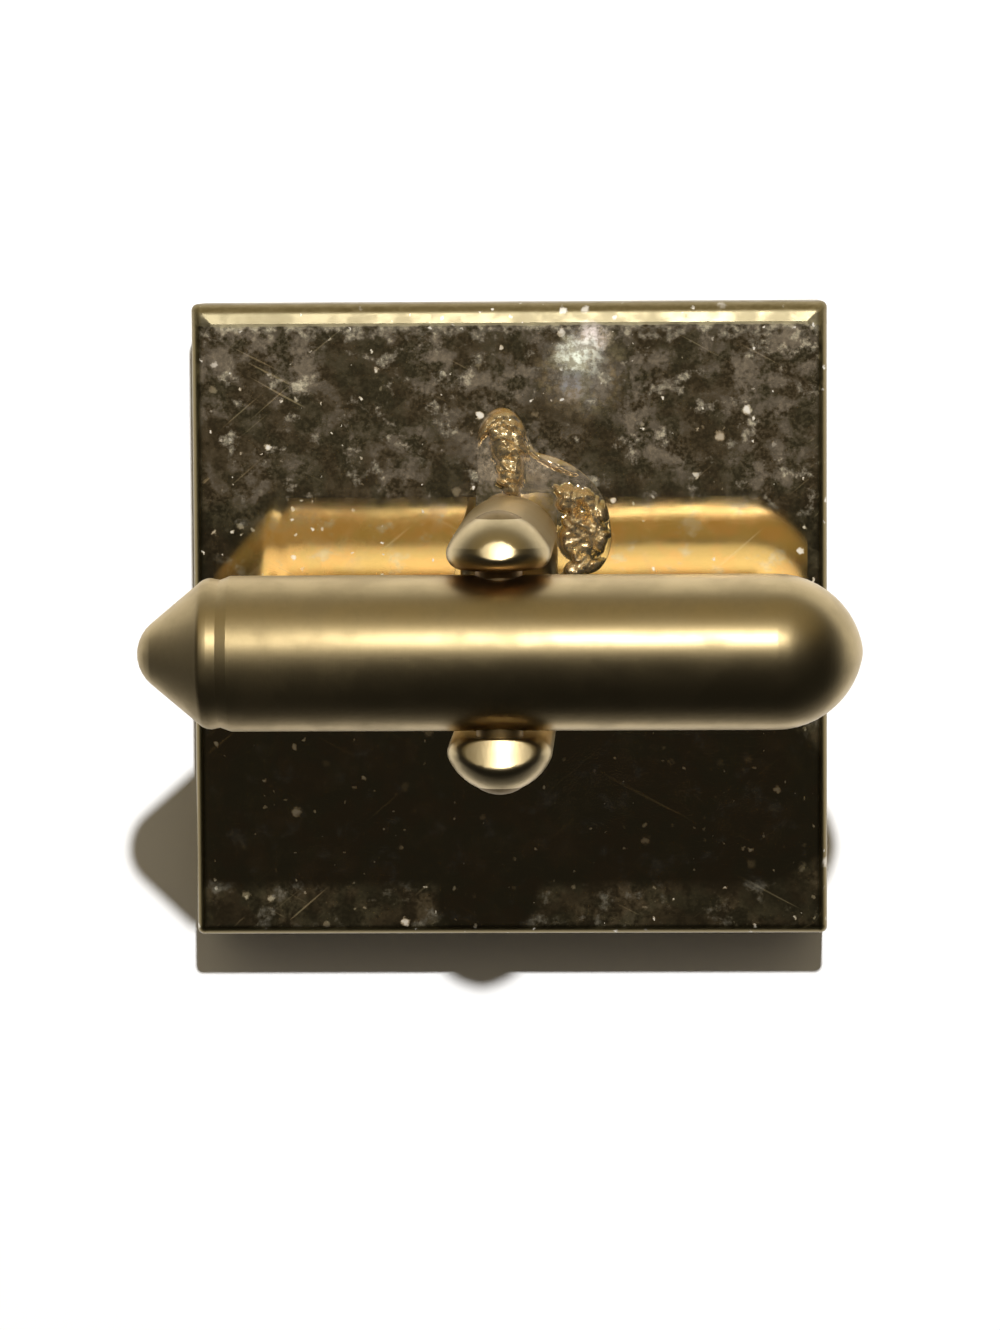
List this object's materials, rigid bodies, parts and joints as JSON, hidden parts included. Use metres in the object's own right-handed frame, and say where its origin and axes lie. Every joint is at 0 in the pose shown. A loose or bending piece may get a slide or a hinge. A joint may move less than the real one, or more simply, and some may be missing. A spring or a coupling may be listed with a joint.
{
  "type": "cufflink",
  "caption": "Square gold-tone cufflink whose half-round stirrup post carries a torpedo toggle bar that swivels on a pin to pass through a buttonhole.",
  "frame": {"origin": "middle of the decorative face, on the surface that the cufflink lies on", "axes": "+Z from the plate's back along the post, X along the toggle bar at rest with its closed round end at +X, Y along the pivot pin"},
  "size_m": [0.02, 0.019, 0.0181],
  "materials": {
    "plate_gold": "polished pale gold plating on brass, tarnished and scratched on the back",
    "post_gold": "bright pale gold plating on brass",
    "bar_gold": "satin pale gold plating on brass",
    "solder": "rough, pitted solder plated over with the rest",
    "pin_gold": "peened ends, plated over",
    "spring_steel": "rolled spring strip"
  },
  "bodies": {
    "cufflink_base": {"face_plate": "plate_gold", "stirrup_post": "post_gold", "solder_joint": "solder", "pivot_pin": "pin_gold"},
    "toggle_bar": {"bar_shell": "bar_gold", "nose_plug": "bar_gold", "detent_spring": "spring_steel"}
  },
  "joints": [
    {"name": "bar_swivel", "type": "hinge", "parent": "cufflink_base", "child": "toggle_bar", "pos_m": [0, 0, 0.016], "axis": [0, 1, 0], "continuous": true, "deforming": ["detent_spring"]}
  ]
}
